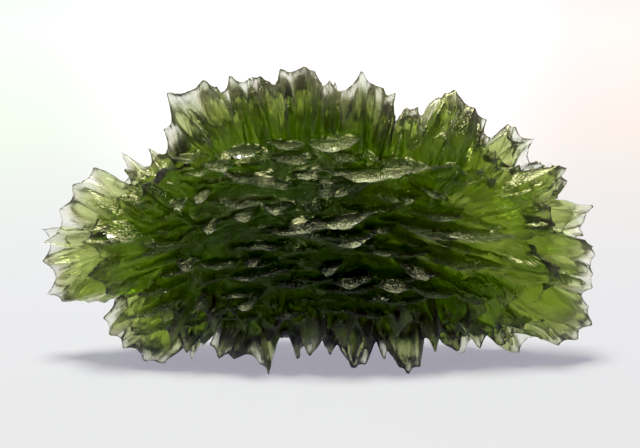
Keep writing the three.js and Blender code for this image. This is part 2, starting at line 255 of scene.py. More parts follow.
def grid_quads(rows, columns):
    """The quads of a grid of points, rows by columns, as indices into its flattened points."""
    corner = (np.arange(rows - 1)[:, None] * columns + np.arange(columns - 1)).ravel()
    return np.column_stack((corner, corner + 1, corner + columns + 1, corner + columns))


def closed_pair(front, back):
    """Two grids of points of the same size, joined round their rim: points and quads of a shell."""
    rows, columns = front.shape[:2]
    sheet = rows * columns
    index = np.arange(sheet).reshape(rows, columns)
    rim = np.concatenate((index[0, :-1], index[:-1, -1], index[-1, :0:-1], index[:0:-1, 0]))
    onward = np.roll(rim, -1)
    quads = np.vstack((
        grid_quads(rows, columns),
        grid_quads(rows, columns)[:, ::-1] + sheet,
        np.column_stack((rim, rim + sheet, onward + sheet, onward)),
    ))
    return np.vstack((front.reshape(-1, 3), back.reshape(-1, 3))), quads


def grid_normals(surface):
    """The unit normals of a surface given as a grid of points."""
    normals = np.cross(np.gradient(surface, axis=1), np.gradient(surface, axis=0))
    return normals / (np.linalg.norm(normals, axis=2, keepdims=True) + 1e-9)


def wafer(middle, half):
    """A closed shell that lies half a thickness either side of a middle surface, along its normals."""
    offset = grid_normals(middle) * half[..., None]
    return closed_pair(middle + offset, middle - offset)


def fin(roots, teeth, thick, rng, edge=0.22, fall=2.5, depth=0.22, curl=0.5, swell=0.0, rows=22,
        per_bay=12):
    """A thin closed fin between a buried edge and a row of teeth.

    u runs from the buried edge, 0, to the toothed edge, 1, and v from the first tooth to the last.
    At the share f between two teeth, the toothed edge is the straight line between them, drawn back
    towards the buried edge by depth * span * 4 f (1 - f), a little more or less in each bay, so that
    teeth are cusps and bays are hollow. The middle surface joins the two edges by straight lines and
    bulges out of their plane by curl * sin(pi u) and by slow waves that grow with u.

    At the distance s from the toothed edge the fin is
    edge + (thick - edge) * (1 - exp(-(s / fall)^1.8)) + 2 * swell * (s / 8)^3 thick, where fall goes
    up and down across v, so that the clear rim has streaks, and the last term grows no further once
    s is 8. The fin is a third thinner behind a bay than along the rib behind a tooth. Flutes across v
    and a slow wave along u change its thickness by up to a third, and sin(pi v / bays)^0.6 tapers it
    to the edge's thickness at both sides.
    """
    roots = np.asarray(roots, float)
    teeth = np.asarray(teeth, float)
    bays = len(teeth) - 1
    v = np.linspace(0, bays, bays * per_bay + 1)
    k = np.minimum(v.astype(int), bays - 1)
    f = (v - k)[:, None]
    span = np.linalg.norm(teeth[k + 1] - teeth[k], axis=1)[:, None]
    buried = roots[k] * (1 - f) + roots[k + 1] * f
    edge_line = teeth[k] * (1 - f) + teeth[k + 1] * f
    inward = buried - edge_line
    length = np.linalg.norm(inward, axis=1)[:, None]
    depths = (depth * rng.uniform(0.7, 1.5, bays))[k][:, None]
    edge_line = edge_line + inward / length * depths * span * bay(f)

    u = np.linspace(0, 1, rows)[:, None, None]
    middle = buried * (1 - u) + edge_line * u
    phase = rng.uniform(0, 2 * math.pi, 4)
    wave = 0.25 * np.sin(2.1 * v + phase[0] + 2 * u[..., 0]) + 0.13 * np.sin(4.3 * v + phase[1])
    bulge = curl * np.sin(math.pi * u[..., 0]) + u[..., 0] * wave
    middle = middle + grid_normals(middle) * bulge[..., None]

    u, f = u[..., 0], f[:, 0]
    from_edge = (1 - u) * length[:, 0]
    falls = fall * (1 + 0.4 * np.sin(4.7 * v + phase[1]) + 0.3 * np.sin(12.3 * v + phase[2]))
    half = (edge + (thick - edge) * (1 - np.exp(-(from_edge / falls) ** 1.8))) / 2
    half = half + swell * np.clip(from_edge / 8, 0, 1) ** 3
    half = half * (1 - 0.35 * bay(f))
    flutes = 0.13 * np.sin(9.1 * v + 2.2 * u + phase[2]) + 0.09 * np.sin(21.0 * v - 3.0 * u + phase[3])
    half = half * (1 + flutes + 0.13 * np.sin(8.0 * u + 3.1 * v + phase[0]))
    half = np.maximum(half * np.sin(math.pi * np.clip(v / bays, 0, 1)) ** 0.6, edge / 2)
    return wafer(middle, half)


def spread(root, across, count, width=0.75):
    """Points of a buried edge: evenly along a line through root, width times as long as across."""
    shares = np.linspace(-0.5, 0.5, count)[:, None]
    return root + across * width * shares


def tall_fan(entry, rng):
    """A tall fan or spine: its teeth stand at one y, a little out of line with each other.

    A fan of the crown has a broader clear rim and swells towards its root.
    """
    (root_x, root_z), lean, thick, teeth = entry
    tips = np.array([(x, lean, z) for x, z in teeth])
    tips[1:-1, 1] += rng.uniform(-0.5, 0.5, len(tips) - 2)
    root = np.array((root_x, 0.25 * lean, root_z))
    roots = spread(root, tips[-1] - tips[0], len(tips))
    fall, swell = (3.0, 0.7) if root_z > CROWN_ROOT else (1.8, 0.0)
    return fin(roots, tips, thick, rng, fall=fall, swell=swell, curl=rng.uniform(-0.6, 0.6))


def outline():
    """The tall fans' teeth and the middles of their buried edges, once round the stone, as arrays."""
    teeth = np.array([tooth for _, _, _, fan in TALL_FANS for tooth in fan])
    roots = np.array([root for root, _, _, fan in TALL_FANS for _ in fan])
    return teeth, roots


def layer_fans(side, ring, thick, rng):
    """A ring of shorter fans in front of the tall fans (side -1) or behind them (1).

    The ring is cut into fans of three to five teeth, wherever the tall fans part. Each fan has its own
    reach, near that of the ring: its teeth lie on the tall fans' outline, drawn back to the share reach
    of the way from the buried edge, and more so at its sides. A shorter fan stands further out, at
    9.2 * (1.03 - reach) * slim, where slim falls from 1.2 in the middle of the stone to 0.5 at its
    ends and thins the fans as well. The thin left lobe and the front of the crown stay bare, and the
    shorter fans behind the crown are a third stouter.
    """
    teeth, roots = outline()
    order = np.arange(len(teeth))
    shells = []
    at = rng.uniform(0, 2)
    while at < len(teeth) - 4:
        count = int(rng.integers(3, 6))
        places = at + np.linspace(0, count * rng.uniform(0.8, 1.2), count)
        at = places[-1] - rng.uniform(0.2, 0.9)
        x = np.interp(places, order, teeth[:, 0])
        z = np.interp(places, order, teeth[:, 1])
        root = np.array((np.interp(places.mean(), order, roots[:, 0]), 0.5 * side,
                         np.interp(places.mean(), order, roots[:, 1])))
        on_left_lobe = x.mean() < -17 and z.mean() > 5
        on_crown = abs(x.mean()) < 10 and z.mean() > 17
        if on_left_lobe or (on_crown and side < 0):
            continue
        reach = min(ring * rng.uniform(0.82, 1.16), 0.95)
        across = np.linspace(-1, 1, count)
        lengths = reach * (1 - 0.16 * across ** 2) * rng.uniform(0.94, 1.04, count)
        tips = root + (np.column_stack((x, 0 * x, z)) - root) * lengths[:, None]
        slim = 1.2 - 0.7 * min(abs(x.mean()) / 20, 1) ** 2
        offset = 9.2 * (1.03 - reach) * slim
        lean = rng.uniform(-0.6, 0.6)
        tips[:, 1] = side * offset + lean * across + rng.uniform(-0.15, 0.15, count)
        roots_here = spread(root, tips[-1] - tips[0], count)
        stout = 1.35 if on_crown and reach < 0.8 else 1.0
        shells.append(fin(roots_here, tips, thick * slim * stout, rng, edge=0.26, fall=1.7, depth=0.2,
                          curl=side * rng.uniform(0.1, 0.8)))
    return shells


def ledge_height(x, z, ledge):
    """How far one ledge stands out of the dome at the points x, z.

    A ledge is a tongue that grows out of the dome going down and ends in a lip. At the share a of its
    half width from its middle the lip is at lip_z + slope * (x - lip_x) + rise * a^2, and the tongue
    starts at a straight line above it. At the share s of the way from that line to the lip it stands
    out by proud * sqrt(1 - a^2) * s^3.2, so it flares; below the lip it is gone. As the dome lets the
    ledge sag afterwards, the lip is put that much higher first.
    """
    lip_x, lip_z, half_width, slope, proud = ledge
    lip_z += LEDGE_SAG * proud
    a = (x - lip_x) / half_width
    rise = 0.35 + 0.16 * half_width
    line = lip_z + slope * (x - lip_x)
    lip = line + rise * a ** 2
    start = line + rise + 1.1 + 0.6 * proud
    s = (start - z) / (start - lip)
    inside = (np.abs(a) < 1) & (s > 0) & (s < 1)
    return np.where(inside, proud * np.sqrt(np.clip(1 - a ** 2, 0, 1)) * np.clip(s, 0, 1) ** 3.2, 0)


def stone_depth(x, z):
    """How far the shelves may reach out of the middle plane at x and z.

    It is HALF_DEPTH * (1 - a^2)^0.65 * (1 - c^2)^0.6, where a runs from 0 in the middle to 1 where the
    shelves end at either side, and c from 0 at DEEPEST_Z to 1 where they end upwards or downwards.
    """
    a = x / REACH_RIGHT if x > 0 else x / REACH_LEFT
    c = (z - DEEPEST_Z) / REACH_UP if z > DEEPEST_Z else (DEEPEST_Z - z) / REACH_DOWN
    return HALF_DEPTH * max(1 - a * a, 0) ** 0.65 * max(1 - c * c, 0) ** 0.6


def shelf(place, side, reach, lip, rng):
    """A smooth shelf that runs out from the core to a lip that curves down, pointed at both ends.

    a runs across the shelf from -1 to 1, and s is the distance back from the lip. At
    x = lip_x + a * half_width the lip draws back by 0.22 * reach * a^2, and rises by rise * a^2 and
    by the slope, with a small slow ripple both ways, so that it is a tongue from above and a shallow
    bowl from the front. Near the lip the shelf sinks by drop * (1 - a^2) * e^(-s / nose), where drop
    and nose are random shares of the size of its lip. It is
    0.16 + 0.16 * reach * (1 - e^(-(s / 3)^1.3)) thick, times sqrt(1 - a^2), and at least 0.16.
    """
    lip_x, lip_z, half_width, slope = place
    a = np.linspace(-1, 1, 20 + int(10 * half_width))
    u = np.linspace(0, 1, 26)[:, None]
    drop = lip * rng.uniform(0.35, 0.65)
    nose = lip * rng.uniform(0.3, 0.5)
    rise = rng.uniform(-0.03, 0.13) * half_width
    phase = rng.uniform(0, 2 * math.pi, 4)
    along = a * half_width
    ripple = np.sin(1.7 * along + phase[0]) + 0.45 * np.sin(4.1 * along + phase[1])
    wave = np.sin(1.3 * along + phase[2]) + 0.45 * np.sin(3.7 * along + phase[3])
    front = np.column_stack((
        lip_x + along,
        side * (reach * (1 - 0.22 * a ** 2) + 0.16 * ripple),
        lip_z + drop + slope * along + rise * a ** 2 + 0.10 * wave,
    ))
    root = np.column_stack((
        0.93 * lip_x + 0.85 * along,
        np.full_like(a, side * 0.3 * reach),
        np.full_like(a, lip_z + drop + rng.uniform(-0.3, 0.5)) + slope * along,
    ))
    middle = root * (1 - u[..., None]) + front * u[..., None]
    back = (1 - u) * np.linalg.norm(front - root, axis=1)
    middle[..., 2] -= drop * (1 - a ** 2) * np.exp(-back / nose)
    half = 0.08 + 0.08 * reach * (1 - np.exp(-(back / 3.0) ** 1.3))
    half = np.maximum(half * (1 - a ** 2) ** 0.5, 0.08)
    return wafer(middle, half)


def droop_and_slope(x, rng):
    """How far a row of ledges droops at x, and a ledge's slope there: both grow towards the ends."""
    beyond = max(abs(x) - 2, 0)
    return 0.022 * beyond ** 1.8, -0.035 * np.sign(x) * beyond + rng.uniform(-0.15, 0.15)


def shelves(side, places, rows, rng):
    """Shelves at the places in a list, and smaller ones scattered in rows at the heights given.

    A scattered shelf that would reach past SHELF_END is worked out and left off, so that the random
    draws for all the others stay the same.
    """
    shells = [shelf(place, side, stone_depth(*place[:2]), MAIN_LIP, rng) for place in places]
    for z in rows:
        x = SHELVES_FROM + rng.uniform(0, 3)
        while x < SHELVES_TO:
            half_width = rng.uniform(1.0, 2.4) * rng.uniform(1.0, 1.8)
            at_x = x + half_width
            droop, slope = droop_and_slope(at_x, rng)
            at_z = z + rng.uniform(-0.5, 0.5) - droop
            reach = stone_depth(at_x, at_z) * rng.uniform(0.68, 0.92)
            if reach > 1.5:
                scattered = shelf((at_x, at_z, half_width, slope), side, reach, SCATTERED_LIP, rng)
                if abs(at_x) + half_width < SHELF_END:
                    shells.append(scattered)
            x += 2 * half_width * rng.uniform(0.7, 1.15)
    return shells


def small_ledges(rows, rng):
    """Small ledges for a dome, in rows at the heights given that droop towards the two ends."""
    ledges = []
    for z in rows:
        x = rng.uniform(0, 2) - LEDGES_END
        while x < LEDGES_END:
            half_width = rng.uniform(0.9, 3.4) * (1 + abs(x) / 30)
            at_x = x + half_width
            droop, slope = droop_and_slope(at_x, rng)
            at_z = z + rng.uniform(-0.4, 0.4) - droop
            ledges.append((at_x, at_z, half_width, slope, rng.uniform(0.3, 1.1)))
            x += 2 * half_width * rng.uniform(0.6, 1.05)
    return ledges


def push(points, strength, start, table):
    """How far places are pushed about: slow noise of a given strength, and a little finer noise."""
    slow = smooth_noise(points * 0.7 + start, table)
    return slow * strength + smooth_noise(points * 2.6 + start, table) * 0.07


def dome(side, ledges, table, columns=430, rows=270):
    """The dome in front of the core (side -1) or behind it (1), covered with ledges.

    a and b run from -1 to 1, a along the dome's length and b from its lower rim to its upper rim at
    that place. Its depth is (1 - a^2)^m * (1 - c^2)^p times the most, where c runs from 0 at the
    deepest height to 1 at either rim. m is 1.3 to the left and 4.2 to the right, and p is 0.35 above
    that height and 0.85 below. The two rims meet at the ends, and the rear dome's upper rim is raised
    by REAR_RISE * (1 - a^2)^2. The highest of all ledges at a point is added to the depth, fading out
    at the rims, and so is a slow swell. The ledges sag, and they are looked up at places pushed about
    by slow noise, so that no lip is a plain curve. Noise is read off a flat sheet at sheet_y.
    """
    a, b = np.meshgrid(np.linspace(-1, 1, columns), np.linspace(-1, 1, rows))
    top_x, top_z = np.array(DOME_TOP).T
    bottom_x, bottom_z = np.array(DOME_BOTTOM).T
    x = (top_x[0] + top_x[-1]) / 2 + a * (top_x[-1] - top_x[0]) / 2
    top = np.interp(x, top_x, top_z) + (REAR_RISE * (1 - a ** 2) ** 2 if side > 0 else 0)
    bottom = np.interp(x, bottom_x, bottom_z)
    z = (top + bottom) / 2 + b * (top - bottom) / 2 * (1 - a ** 8)
    off_widest = np.where(b > WIDEST, (b - WIDEST) / (1 - WIDEST), (WIDEST - b) / (1 + WIDEST))
    from_end = (1 - a ** 2) ** np.where(a < 0, 1.3, 4.2)
    round_depth = from_end * (1 - off_widest ** 2) ** np.where(b > WIDEST, 0.35, 0.85)
    sheet_y = 7.7 * side
    flat = np.column_stack((x.ravel(), np.full(x.size, sheet_y), z.ravel()))
    pushed_x = x + push(flat, 0.4, 0.0, table).reshape(x.shape)
    pushed_z = z + push(flat, 0.3, 31.0, table).reshape(x.shape)
    height = np.zeros_like(x)
    for ledge in ledges:
        height = np.maximum(height, ledge_height(pushed_x, pushed_z, ledge))
    height = height * np.clip(round_depth / 0.3, 0, 1)
    swell = 0.35 * smooth_noise(flat * 0.5 + 9.0, table).reshape(x.shape) * (1 - b ** 2)
    deepest = FRONT_DEPTH if side < 0 else REAR_DEPTH
    y = side * np.minimum(deepest * round_depth + height + swell, DEPTH_LIMIT)
    outer = np.stack((x, y, z - LEDGE_SAG * height), axis=2)
    inner = np.stack((x, 0 * x, z), axis=2)
    return closed_pair(outer, inner)


def blades(side, rng):
    """Rows of blades that hang side by side under a dome, each with one long tip.

    Each blade is turned this way or that about an upright line. The rows bend back towards the two
    ends as an ellipse does, and their tips rise and splay out a little there.
    """
    shells = []
    for row, (deep, low) in enumerate(BLADE_ROWS):
        x = BLADES_FROM + 0.8 * row
        while x < BLADES_TO:
            width = rng.uniform(1.8, 3.6)
            at = x + width / 2
            turn = rng.uniform(-0.9, 0.9)
            y = side * BLADE_DEPTH * deep * math.sqrt(1 - (at / 18) ** 2)
            tip_z = low + rng.uniform(-0.7, 1.3) + 0.12 * max(0, abs(at) - 9)
            across = np.array((math.cos(turn), math.sin(turn), 0)) * width / 2
            tip = np.array((at + at / 30 + rng.uniform(-0.4, 0.4), y, tip_z))
            middle = np.array((at, y, tip_z + rng.uniform(1.6, 2.6)))
            tips = np.array((middle - across, tip, middle + across))
            root = np.array((0.9 * at, 0.62 * y, BLADE_ROOT_Z))
            roots = spread(root, across * 2, 3, 0.9)
            shells.append(fin(roots, tips, BLADE_THICK, rng, fall=2.6, depth=0.1,
                              curl=rng.uniform(-0.4, 0.4)))
            x += width * rng.uniform(0.75, 1.0)
    return shells


def core(rings=25, slices=49):
    """The core: an ellipsoid."""
    a = np.linspace(0, math.pi, rings)[:, None]
    b = np.linspace(0, 2 * math.pi, slices)[None, :]
    ball = np.stack((np.cos(a) + 0 * b, np.sin(a) * np.cos(b), np.sin(a) * np.sin(b)), axis=2)
    points = ball.reshape(-1, 3) * CORE_RADII + CORE_CENTRE
    return points, grid_quads(rings, slices)


def all_fins(rng, table):
    """The core and every fin of the stone, each as points and quads."""
    shells = [core()]
    for entry in TALL_FANS + REAR_SPINES + END_PETALS:
        shells.append(tall_fan(entry, rng))
    for side in (-1, 1):
        for ring, thick in RINGS:
            shells += layer_fans(side, ring, thick, rng)
    shells.append(dome(-1, small_ledges(FRONT_LEDGE_ROWS, rng), table))
    shells.append(dome(1, small_ledges(REAR_LEDGE_ROWS, rng), table))
    shells += shelves(-1, FRONT_SHELVES, FRONT_SHELF_ROWS, rng)
    shells += shelves(1, (), REAR_SHELF_ROWS, rng)
    for side in (-1, 1):
        shells += blades(side, rng)
    return shells


# ------------------------------------ etching

def lattice_values(cell, table):
    """A fixed random value for each whole-number cell (i, j, k), looked up in a table.

    Each of i, j and k is multiplied by a large number of its own, and their bits are mixed.
    """
    i, j, k = (number * factor for number, factor in zip(cell, CELL_FACTORS))
    return table[(i ^ j ^ k) % len(table)]


def smooth_noise(points, table):
    """Value noise between -1 and 1: random values at whole-number corners, blended by 3t^2 - 2t^3."""
    floor = np.floor(points).astype(np.int64)
    t = points - floor
    t = t * t * (3 - 2 * t)
    total = np.zeros(len(points))
    for corner in np.ndindex(2, 2, 2):
        weight = np.ones(len(points))
        for axis in range(3):
            weight *= t[:, axis] if corner[axis] else 1 - t[:, axis]
        cell = [floor[:, axis] + corner[axis] for axis in range(3)]
        total += weight * lattice_values(cell, table)
    return total * 2 - 1


def bowls(points, table):
    """Etched bowls: the squared distance to the nearest of the seeds scattered one to a unit cell."""
    floor = np.floor(points).astype(np.int64)
    nearest = np.full(len(points), 9.0)
    for step in np.ndindex(3, 3, 3):
        cell = [floor[:, axis] + step[axis] - 1 for axis in range(3)]
        distance = np.zeros(len(points))
        for axis in range(3):
            jitter = lattice_values([cell[0] + 17 * axis, cell[1] + 5 * axis, cell[2]], table)
            distance += (cell[axis] + jitter - points[:, axis]) ** 2
        nearest = np.minimum(nearest, distance)
    return nearest


def along_rays(points, radius=8.0):
    """Each point's ray from the stone's axis, given by the place at that radius along it.

    The axis is level, as high as the middle of the core. A ray starts on it at 0.8 of the point's x,
    and at most 13 from the middle. Patterns in these coordinates run out along the fins. The ray's
    length as far as the point is returned as well.
    """
    centre = np.zeros_like(points)
    centre[:, 0] = np.clip(points[:, 0] * 0.8, -13.0, 13.0)
    centre[:, 2] = CORE_CENTRE[2]
    ray = points - centre
    length = np.linalg.norm(ray, axis=1)[:, None] + 1e-6
    return centre + ray / length * radius, length[:, 0]


def vertex_normals(points, triangles):
    """The unit normals of the points; a larger triangle counts for more."""
    a, b, c = (points[triangles[:, i]] for i in range(3))
    flat = np.cross(b - a, c - a)
    normals = np.zeros_like(points)
    for axis in range(3):
        for i in range(3):
            normals[:, axis] += np.bincount(triangles[:, i], flat[:, axis], len(points))
    return normals / (np.linalg.norm(normals, axis=1)[:, None] + 1e-12)


def neighbour_mean(points, edges):
    """The mean of each point's neighbours."""
    neighbours = np.bincount(edges.ravel(), minlength=len(points))
    mean = np.empty_like(points)
    for axis in range(points.shape[1]):
        mean[:, axis] = np.bincount(edges[:, 0], points[edges[:, 1], axis], len(points))
        mean[:, axis] += np.bincount(edges[:, 1], points[edges[:, 0], axis], len(points))
    return mean / neighbours[:, None]


def fill_creases(points, triangles, edges, passes):
    """Smooths hollows much more than crests, so that fins meet in fillets and keep sharp edges."""
    for step in range(passes):
        if step % 5 == 0:
            normals = vertex_normals(points, triangles)
        pull = neighbour_mean(points, edges) - points
        hollow = (pull * normals).sum(axis=1) > 0
        points = points + pull * np.where(hollow, 0.55, 0.12)[:, None]
    return points


def etch(points, normals, table):
    """Moves each point along its normal: flutes along the rays, fine ribs along them, and lumps.

    The move is 0.10 * (q - 0.35) + 0.035 * ribs + 0.09 * lumps, and no more than DEEPEST_ETCH either
    way. q is the squared distance to the nearest seed in the rays' coordinates, stretched a little by
    the rays' length, so that each seed makes a long flute; ribs and lumps are smooth noise.
    """
    rays, length = along_rays(points)
    flutes = bowls(rays + length[:, None] * 0.10, table)
    ribs = smooth_noise(rays * 2.4 + length[:, None] * 0.2, table)
    lumps = smooth_noise(points * 0.8, table)
    move = 0.10 * (flutes - 0.35) + 0.035 * ribs + 0.09 * lumps
    return points + normals * np.clip(move, -DEEPEST_ETCH, DEEPEST_ETCH)[:, None]


def largest_part(points, triangles, edges):
    """The points and triangles of the largest connected part, without loose crumbs."""
    part = np.arange(len(points))
    while True:
        low = np.minimum(part[edges[:, 0]], part[edges[:, 1]])
        lower = part.copy()
        np.minimum.at(lower, edges[:, 0], low)
        np.minimum.at(lower, edges[:, 1], low)
        lower = lower[lower]
        if np.array_equal(lower, part):
            break
        part = lower
    kept = part == np.bincount(part).argmax()
    number = np.cumsum(kept) - 1
    return points[kept], number[triangles[kept[triangles[:, 0]]]]


def worn(points, triangles, edges):
    """Where the ledges are worn to a sugary matt finish, 0 to 1.

    On faces that look up and slope by 33 to 50 degrees it is 0.6, more on crests and less in hollows.
    It fades out on steeper faces and on level ones, within 3 of the middle plane, and from 14.5 out
    towards both ends.
    """
    normals = vertex_normals(points, triangles)
    pull = neighbour_mean(points, edges) - points
    crest = -(pull * normals).sum(axis=1)
    for _ in range(2):
        crest = (crest + neighbour_mean(crest[:, None], edges)[:, 0]) / 2
    up = normals[:, 2]
    sloping = np.clip((up - 0.4) / 0.25, 0, 1) * np.clip((0.99 - up) / 0.15, 0, 1)
    off_middle = np.clip((np.abs(points[:, 1]) - 1.5) / 1.5, 0, 1)
    off_ends = np.clip((16.5 - np.abs(points[:, 0])) / 2, 0, 1)
    return np.clip(0.6 + crest / 0.015, 0, 1) * sloping * off_middle * off_ends


# ------------------------------------ mesh helpers

def mesh_of(name, points, faces):
    """A mesh from arrays of points and of quads or triangles."""
    mesh = bpy.data.meshes.new(name)
    sides = faces.shape[1]
    mesh.vertices.add(len(points))
    mesh.vertices.foreach_set("co", points.astype(np.float32).ravel())
    mesh.loops.add(faces.size)
    mesh.loops.foreach_set("vertex_index", faces.astype(np.int32).ravel())
    mesh.polygons.add(len(faces))
    mesh.polygons.foreach_set("loop_start", np.arange(0, faces.size, sides, dtype=np.int32))
    mesh.update(calc_edges=True)
    mesh.validate()
    return mesh


def arrays_of(mesh):
    """A mesh's points, triangles and edges as arrays."""
    mesh.calc_loop_triangles()
    points = np.empty(len(mesh.vertices) * 3)
    mesh.vertices.foreach_get("co", points)
    triangles = np.empty(len(mesh.loop_triangles) * 3, dtype=np.int32)
    mesh.loop_triangles.foreach_get("vertices", triangles)
    edges = np.empty(len(mesh.edges) * 2, dtype=np.int32)
    mesh.edges.foreach_get("vertices", edges)
    return points.reshape(-1, 3), triangles.reshape(-1, 3), edges.reshape(-1, 2)


def modified(mesh, kind, **settings):
    """A new mesh, made from one with a modifier applied; the old mesh is removed."""
    thing = bpy.data.objects.new("being_modified", mesh)
    bpy.context.scene.collection.objects.link(thing)
    modifier = thing.modifiers.new("step", kind)
    for key, value in settings.items():
        setattr(modifier, key, value)
    evaluated = thing.evaluated_get(bpy.context.evaluated_depsgraph_get())
    result = bpy.data.meshes.new_from_object(evaluated)
    bpy.data.objects.remove(thing)
    bpy.data.meshes.remove(mesh)
    return result


# ------------------------------------ settings

class MoldaviteStone(PropertyGroup):
    """Sizes and colours of the stone."""

    voxel: FloatProperty(
        name="Fusing size", description="Size of the voxels that fuse the fins, in millimetres",
        default=0.11, min=0.08, max=0.5)
    passes: IntProperty(
        name="Fillet passes", description="How often the creases between fins are smoothed",
        default=7, min=0, max=100)
    triangles: IntProperty(
        name="Triangles", description="How many triangles the finished stone has, about",
        default=196000, min=10000, max=199000)
    seed: IntProperty(
        name="Seed", description="Changes every random choice in the stone's shape", default=7)
    tint: FloatVectorProperty(
        name="Absorption colour", description="Colour that the glass lets through",
        subtype="COLOR", size=3, min=0, max=1, default=(0.560, 0.667, 0.032))
    density: FloatProperty(
        name="Absorption density", description="How strongly the glass absorbs, per metre",
        default=880.0, min=0, max=5000)
    ior: FloatProperty(
        name="Index of refraction", description="How strongly the glass bends light",
        default=1.49, min=1, max=2)
    roughness: FloatProperty(
        name="Roughness", description="How matt the etched skin is",
        subtype="FACTOR", default=0.36, min=0, max=1)
    worn_roughness: FloatProperty(
        name="Worn roughness", description="How matt the skin is where it is worn and pitted",
        subtype="FACTOR", default=0.28, min=0, max=1)


class MoldaviteStage(PropertyGroup):
    """The floor, the light and the camera."""

    floor_colour: FloatVectorProperty(
        name="Floor colour", description="Colour of the floor in the lamp's light",
        subtype="COLOR", size=3, min=0, max=1, default=(0.176, 0.182, 0.174))
    # Painted light on the floor: the near glow fills the stone's shadow, and the far glow pools behind it.
    near_glow: FloatProperty(
        name="Near glow", description="How strongly the floor glows in front of the stone",
        default=0.38, min=0, max=10)
    far_glow: FloatProperty(
        name="Far glow", description="How strongly the floor glows far behind the stone",
        default=0.93, min=0, max=10)
    lamp_power: FloatProperty(
        name="Lamp power", description="Power of the lamp over the stone", unit="POWER",
        default=2.45, min=0, max=100)
    lamp_colour: FloatVectorProperty(
        name="Lamp colour", description="Colour of the lamp over the stone",
        subtype="COLOR", size=3, min=0, max=1, default=(1.0, 0.98, 0.88))
    lens: FloatProperty(
        name="Lens", description="Focal length of the camera", unit="CAMERA",
        default=120.0, min=20, max=300)
    elevation: FloatProperty(
        name="Elevation", description="How high the camera stands over the horizon",
        subtype="ANGLE", default=math.radians(11))


# ------------------------------------ materials

def set_inputs(tree, node, inputs):
    """Links each input of a node to another node's output, or sets it to a value."""
    for name, value in inputs.items():
        if isinstance(value, bpy.types.NodeSocket):
            tree.links.new(value, node.inputs[name])
        else:
            node.inputs[name].default_value = value


def add_node(tree, kind, inputs=None, **settings):
    """A new node with its settings and inputs."""
    node = tree.nodes.new(kind)
    for name, value in settings.items():
        setattr(node, name, value)
    set_inputs(tree, node, inputs or {})
    return node


def map_range(tree, value, start, end, low=0.0, high=1.0, kind="LINEAR"):
    """An output that goes from low to high as the value goes from start to end, and no further."""
    inputs = {"Value": value, "From Min": start, "From Max": end, "To Min": low, "To Max": high}
    return add_node(tree, "ShaderNodeMapRange", inputs, interpolation_type=kind).outputs["Result"]


def calculate(tree, operation, *values):
    """The output of a Math node that works on the values."""
    inputs = dict(enumerate(values))
    return add_node(tree, "ShaderNodeMath", inputs, operation=operation).outputs["Value"]


def glass_material(look):
    """Clear green glass with an etched skin: plain transmission and absorption, and fine bumps.

    The skin has faint streaks along the rays and, where it is worn, pits.
    """
    material = bpy.data.materials.new("moldavite_glass")
    material.use_nodes = True
    tree = material.node_tree
    frost = add_node(tree, "ShaderNodeAttribute", attribute_name="frost").outputs["Fac"]
    rays = add_node(tree, "ShaderNodeAttribute", attribute_name="rays").outputs["Vector"]
    streaks = add_node(tree, "ShaderNodeTexNoise", {
        "Vector": rays, "Scale": STREAK_SCALE, "Detail": 1.0})
    streak_bump = add_node(tree, "ShaderNodeBump", {
        "Distance": STREAK_DEPTH, "Height": streaks.outputs["Fac"]})
    place = add_node(tree, "ShaderNodeTexCoord").outputs["Object"]
    pits = add_node(tree, "ShaderNodeTexNoise", {"Vector": place, "Scale": PIT_SCALE, "Detail": 0.0})
    pit_bump = add_node(tree, "ShaderNodeBump", {
        "Distance": PIT_DEPTH,
        "Height": calculate(tree, "MULTIPLY", pits.outputs["Fac"], frost),
        "Normal": streak_bump.outputs["Normal"],
    })
    set_inputs(tree, tree.nodes["Principled BSDF"], {
        "Base Color": (1.0, 1.0, 1.0, 1.0),
        "Transmission Weight": 1.0,
        "IOR": look.ior,
        "Metallic": 0.0,
        "Specular Tint": (1.0, 1.0, 0.55, 1.0),
        "Roughness": map_range(tree, frost, 0.0, 1.0, look.roughness, look.worn_roughness),
        "Normal": pit_bump.outputs["Normal"],
    })
    volume = add_node(tree, "ShaderNodeVolumeAbsorption", {
        "Color": (*look.tint, 1.0), "Density": look.density})
    tree.links.new(volume.outputs["Volume"], tree.nodes["Material Output"].inputs["Volume"])
    return material


